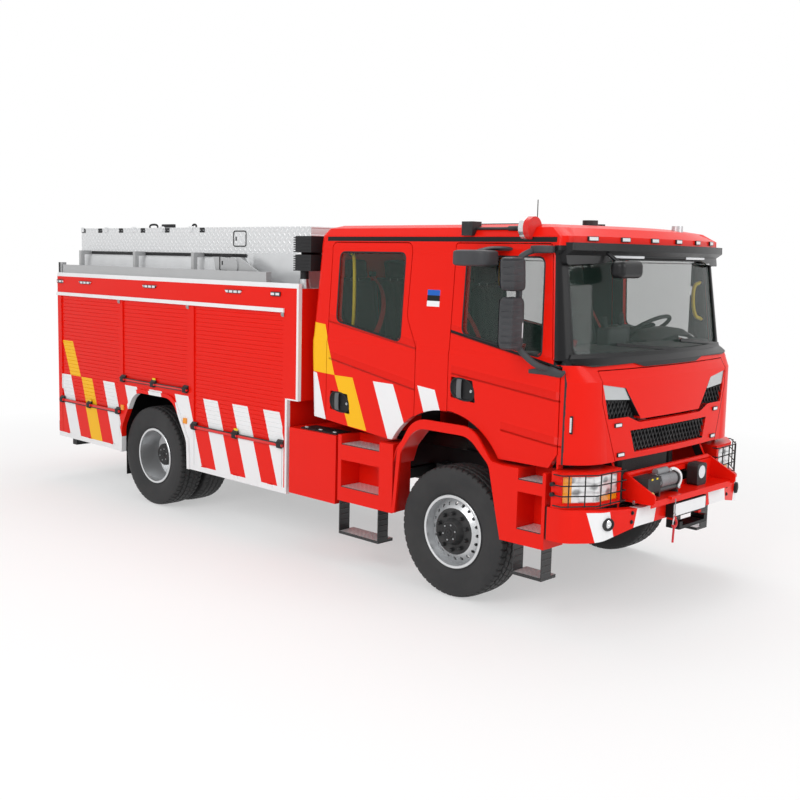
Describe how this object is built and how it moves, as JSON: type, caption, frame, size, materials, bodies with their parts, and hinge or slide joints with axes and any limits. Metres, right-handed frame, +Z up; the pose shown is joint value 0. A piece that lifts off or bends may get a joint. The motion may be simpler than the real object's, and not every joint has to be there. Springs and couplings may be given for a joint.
{
  "type": "fire engine",
  "caption": "Crew-cab fire engine on a four-wheel-drive lorry chassis, with roller-shutter lockers, roof box, light mast, front winch, tilting cab and opening doors.",
  "frame": {"origin": "on the ground under the middle of the vehicle's overall length, on its centre plane", "axes": "+X forward, +Y to the vehicle's left, +Z up"},
  "size_m": [7.74, 3, 3.2278],
  "materials": {
    "paint_red": "glossy bright red enamel",
    "paint_white": "glossy white enamel",
    "chassis_black": "satin black chassis paint",
    "trim_black": "fine grained black plastic",
    "trim_grey": "grained dark grey plastic",
    "aluminium": "natural rolled aluminium",
    "tread_plate": "bright checker plate",
    "shutter": "satin anodised slats",
    "rim": "silver wheel paint",
    "tyre": "black rubber",
    "steel_dark": "cast and painted driveline",
    "glass": "lightly tinted safety glass",
    "lamp": "clear lamp cover",
    "seat": "dark woven upholstery",
    "dash": "soft grey interior plastic",
    "mast": "anodised tube"
  },
  "bodies": {
    "chassis": {"chassis_frame": "chassis_black", "engine_block": "steel_dark", "axles": "steel_dark", "springs_and_shaft": "steel_dark", "front_bumper": "paint_red", "headlamps": "lamp", "winch_frame": "paint_red", "winch": "trim_grey", "front_wings": "paint_red", "cab_steps": "tread_plate", "body_sides": "paint_red", "body_deck_and_ends": "paint_red", "body_lockers": "aluminium", "arch_liners": "trim_black", "shutters": "shutter", "shutter_bars": "trim_black", "body_trims": "paint_white", "roof_boxes": "tread_plate", "roof_rack": "paint_white", "mast_base": "mast", "rear_bumper": "chassis_black", "lamp_guards": "chassis_black", "body_lamps": "lamp"},
    "cab": {"cab_shell": "paint_red", "windscreen": "glass", "dashboard": "dash", "seats": "seat", "cab_trim": "trim_black", "roof_gear": "trim_black"},
    "hatch": {"front_hatch": "paint_red", "front_grille": "trim_black"},
    "box_lid": {"roof_box_lid": "tread_plate"},
    "mast_lower": {"mast_stage_lower": "mast"},
    "mast_upper": {"mast_stage_upper": "mast"},
    "mast_lamp_head": {"mast_head": "trim_black"},
    "steering_rod": {"track_rod": "steel_dark"},
    "wheel_front_right": {"front_tyre_right": "tyre", "front_rim_right": "rim"},
    "wheels_rear_right": {"rear_tyres_right": "tyre", "rear_rims_right": "rim"},
    "steering_knuckle_right": {"knuckle_right": "steel_dark"},
    "door_f_right": {"door_front_right": "paint_red", "door_glass_front_right": "glass", "mirrors_right": "trim_black"},
    "door_r_right": {"door_rear_right": "paint_red", "door_glass_rear_right": "glass"},
    "flap_f_right": {"flap_front_right": "paint_red"},
    "flap_r_right": {"flap_rear_right": "paint_red"},
    "wheel_front_left": {"front_tyre_left": "tyre", "front_rim_left": "rim"},
    "wheels_rear_left": {"rear_tyres_left": "tyre", "rear_rims_left": "rim"},
    "steering_knuckle_left": {"knuckle_left": "steel_dark"},
    "door_f_left": {"door_front_left": "paint_red", "door_glass_front_left": "glass", "mirrors_left": "trim_black"},
    "door_r_left": {"door_rear_left": "paint_red", "door_glass_rear_left": "glass"},
    "flap_f_left": {"flap_front_left": "paint_red"},
    "flap_r_left": {"flap_rear_left": "paint_red"}
  },
  "joints": [
    {"name": "steer_right", "type": "hinge", "parent": "chassis", "child": "steering_knuckle_right", "pos_m": [2.4, -0.87, 0.538], "axis": [0, 0, 1], "range_deg": [-38, 38]},
    {"name": "roll_front_right", "type": "hinge", "parent": "steering_knuckle_right", "child": "wheel_front_right", "pos_m": [2.4, -1.095, 0.538], "axis": [0, 1, 0], "continuous": true},
    {"name": "roll_rear_right", "type": "hinge", "parent": "chassis", "child": "wheels_rear_right", "pos_m": [-1.85, -0.9, 0.538], "axis": [0, 1, 0], "continuous": true},
    {"name": "door_front_right", "type": "hinge", "parent": "cab", "child": "door_f_right", "pos_m": [3.38, -1.215, 2], "axis": [0, 0, 1], "range_deg": [0, 75]},
    {"name": "door_rear_right", "type": "hinge", "parent": "cab", "child": "door_r_right", "pos_m": [1.95, -1.215, 2], "axis": [0, 0, 1], "range_deg": [0, 75]},
    {"name": "flap_front_right", "type": "hinge", "parent": "chassis", "child": "flap_f_right", "pos_m": [-0.36, -1.27, 0.5664], "axis": [1, 0, 0], "range_deg": [0, 90]},
    {"name": "flap_rear_right", "type": "hinge", "parent": "chassis", "child": "flap_r_right", "pos_m": [-3.095, -1.27, 0.5664], "axis": [1, 0, 0], "range_deg": [0, 90]},
    {"name": "steer_left", "type": "hinge", "parent": "chassis", "child": "steering_knuckle_left", "pos_m": [2.4, 0.87, 0.538], "axis": [0, 0, 1], "range_deg": [-38, 38]},
    {"name": "roll_front_left", "type": "hinge", "parent": "steering_knuckle_left", "child": "wheel_front_left", "pos_m": [2.4, 1.095, 0.538], "axis": [0, 1, 0], "continuous": true},
    {"name": "roll_rear_left", "type": "hinge", "parent": "chassis", "child": "wheels_rear_left", "pos_m": [-1.85, 0.9, 0.538], "axis": [0, 1, 0], "continuous": true},
    {"name": "door_front_left", "type": "hinge", "parent": "cab", "child": "door_f_left", "pos_m": [3.38, 1.215, 2], "axis": [0, 0, -1], "range_deg": [0, 75]},
    {"name": "door_rear_left", "type": "hinge", "parent": "cab", "child": "door_r_left", "pos_m": [1.95, 1.215, 2], "axis": [0, 0, -1], "range_deg": [0, 75]},
    {"name": "flap_front_left", "type": "hinge", "parent": "chassis", "child": "flap_f_left", "pos_m": [-0.36, 1.27, 0.5664], "axis": [-1, 0, 0], "range_deg": [0, 90]},
    {"name": "flap_rear_left", "type": "hinge", "parent": "chassis", "child": "flap_r_left", "pos_m": [-3.095, 1.27, 0.5664], "axis": [-1, 0, 0], "range_deg": [0, 90]},
    {"name": "track_rod_eye", "type": "hinge", "parent": "steering_knuckle_right", "child": "steering_rod", "pos_m": [2.185, -0.87, 0.388], "axis": [0, 0, 1], "range_deg": [-38, 38]},
    {"name": "cab_tilt", "type": "hinge", "parent": "chassis", "child": "cab", "pos_m": [3.55, 0, 0.85], "axis": [0, 1, 0], "range_deg": [0, 50]},
    {"name": "hatch_hinge", "type": "hinge", "parent": "cab", "child": "hatch", "pos_m": [3.59, 0, 1.932], "axis": [0, -1, 0], "range_deg": [0, 80]},
    {"name": "box_lid_hinge", "type": "hinge", "parent": "chassis", "child": "box_lid", "pos_m": [-2.54, -0.95, 3], "axis": [1, 0, 0], "range_deg": [0, 100]},
    {"name": "mast_rise", "type": "slide", "parent": "chassis", "child": "mast_lower", "axis": [0, 0, 1], "range_m": [0, 0.88]},
    {"name": "mast_rise_upper", "type": "slide", "parent": "mast_lower", "child": "mast_upper", "axis": [0, 0, 1], "range_m": [0, 0.88]},
    {"name": "mast_rise_head", "type": "slide", "parent": "mast_upper", "child": "mast_lamp_head", "axis": [0, 0, 1], "range_m": [0, 0.88]}
  ],
  "couplings": [
    {"joint": "steer_left", "follows": "steer_right", "ratio": 1},
    {"joint": "track_rod_eye", "follows": "steer_right", "ratio": -1},
    {"joint": "mast_rise_upper", "follows": "mast_rise", "ratio": 1},
    {"joint": "mast_rise_head", "follows": "mast_rise", "ratio": 1}
  ]
}
